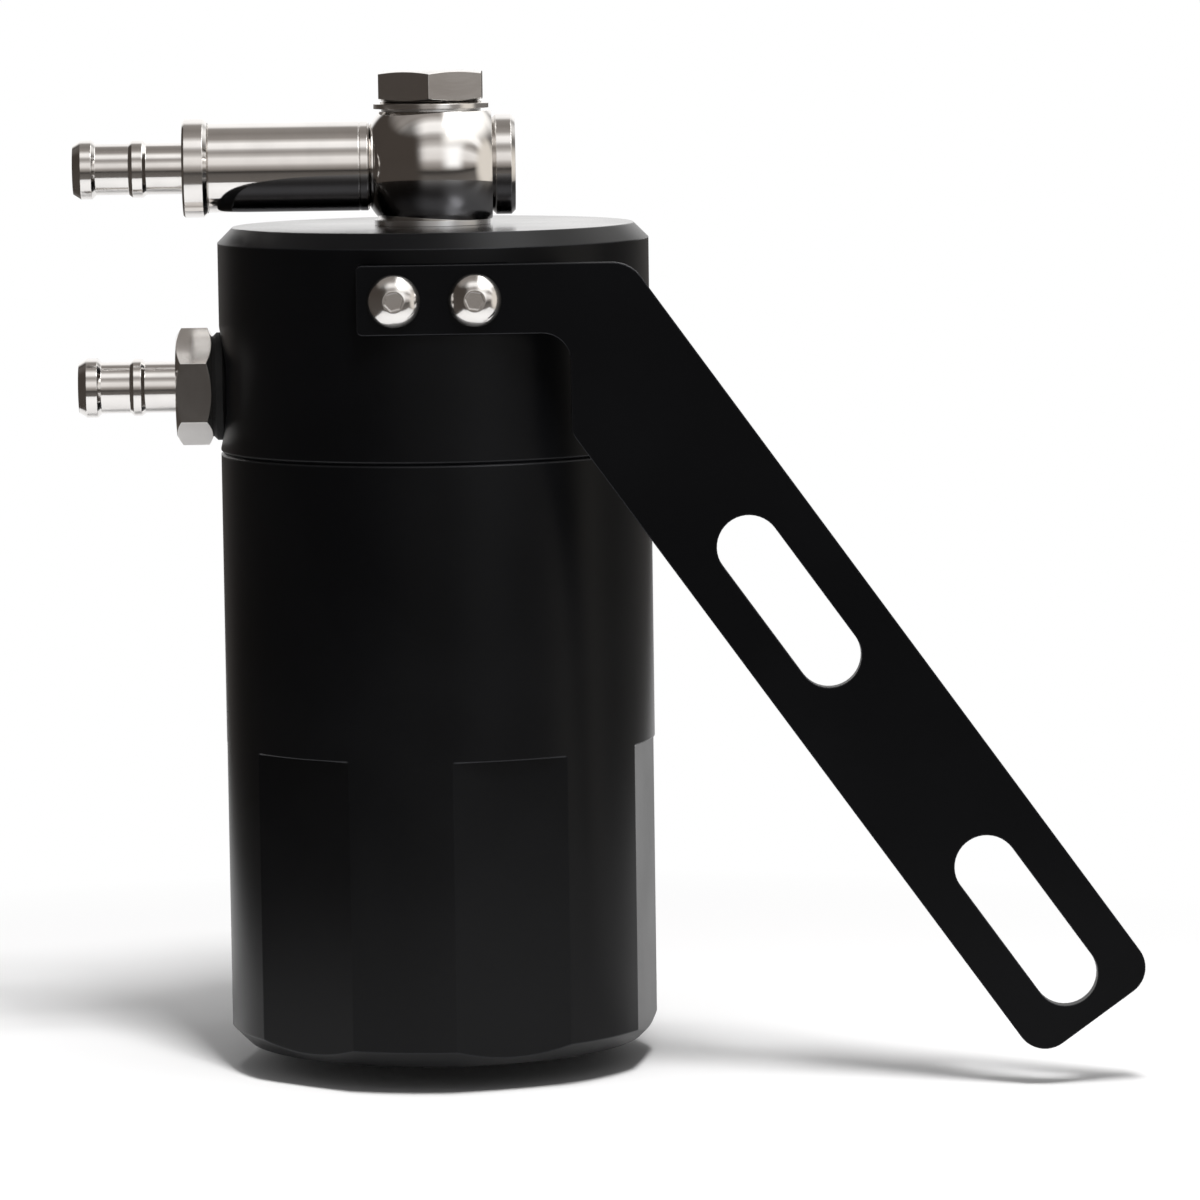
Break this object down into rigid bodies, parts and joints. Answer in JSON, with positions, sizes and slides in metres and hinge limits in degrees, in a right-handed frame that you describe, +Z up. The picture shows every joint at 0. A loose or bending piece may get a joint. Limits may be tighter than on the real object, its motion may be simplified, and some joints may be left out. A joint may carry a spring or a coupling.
{
  "type": "oil separator reservoir",
  "caption": "Black cylindrical oil separator can with a screwed canister, slotted side bracket, side hose barb and a swivelling banjo hose outlet on top.",
  "frame": {"origin": "on the can's axis, in the plane of the drain plug's bottom face", "axes": "+Z up along the can's axis; -X the way both hose barbs point; -Y the side that the bracket is on; the bracket's arm leans down towards +X"},
  "size_m": [0.1938, 0.0833, 0.1853],
  "materials": {
    "black_anodising": "satin black anodised",
    "bracket_black": "satin black, slightly blue",
    "plain_aluminium": "as turned",
    "washer_aluminium": "flat, bright",
    "turned_steel": "stainless, finely turned",
    "polished_steel": "stainless, polished",
    "screw_steel": "stainless, satin",
    "spring_steel": "drawn wire",
    "perforated_steel": "perforated sheet",
    "black_rubber": "matt black",
    "filter_media": "pleated felt"
  },
  "bodies": {
    "head": {"head": "black_anodising", "mounting_bracket": "bracket_black", "bracket_screws": "screw_steel", "inlet_seal": "black_rubber", "inlet_barb": "turned_steel", "banjo_bolt": "turned_steel", "banjo_upper_washer": "washer_aluminium", "banjo_lower_washer": "washer_aluminium", "element_top_cap": "plain_aluminium", "element_bottom_cap": "plain_aluminium", "element_seal": "black_rubber", "element_core": "perforated_steel", "element_cage": "perforated_steel", "element_media": "filter_media"},
    "rim_seal": {"canister_seal": "black_rubber"},
    "canister": {"canister": "black_anodising", "baffle_plate": "plain_aluminium"},
    "drain_washer": {"drain_seal": "black_rubber"},
    "drain_plug": {"drain_plug": "turned_steel"},
    "banjo": {"banjo_ball": "polished_steel", "outlet_tube": "polished_steel", "tube_seal": "black_rubber", "outlet_barb": "turned_steel", "outlet_barb_seal": "black_rubber", "end_plug": "turned_steel", "end_plug_seal": "black_rubber", "check_valve_spring": "spring_steel"},
    "valve_poppet": {"check_valve_poppet": "black_rubber"}
  },
  "joints": [
    {"name": "canister_lower", "type": "slide", "parent": "head", "child": "rim_seal", "axis": [0, 0, -1], "range_m": [0, 0.012]},
    {"name": "canister_turn", "type": "hinge", "parent": "rim_seal", "child": "canister", "pos_m": [0, 0, 0.1153], "axis": [0, 0, -1], "range_deg": [0, 2160]},
    {"name": "drain_lower", "type": "slide", "parent": "canister", "child": "drain_washer", "axis": [0, 0, -1], "range_m": [0, 0.0075]},
    {"name": "drain_turn", "type": "hinge", "parent": "drain_washer", "child": "drain_plug", "pos_m": [0, 0, 0.005], "axis": [0, 0, -1], "range_deg": [0, 1800]},
    {"name": "banjo_swivel", "type": "hinge", "parent": "head", "child": "banjo", "pos_m": [0, 0, 0.1679], "axis": [0, 0, 1], "continuous": true},
    {"name": "check_valve_lift", "type": "slide", "parent": "banjo", "child": "valve_poppet", "axis": [-1, 0, 0], "range_m": [0, 0.0025], "stiffness_N_per_m": 200, "springref_m": -0.0015, "deforming": ["check_valve_spring"]}
  ],
  "couplings": [
    {"joint": "canister_lower", "follows": "canister_turn", "m_per_rad": 0.00031831},
    {"joint": "drain_lower", "follows": "drain_turn", "m_per_rad": 0.00023873}
  ]
}
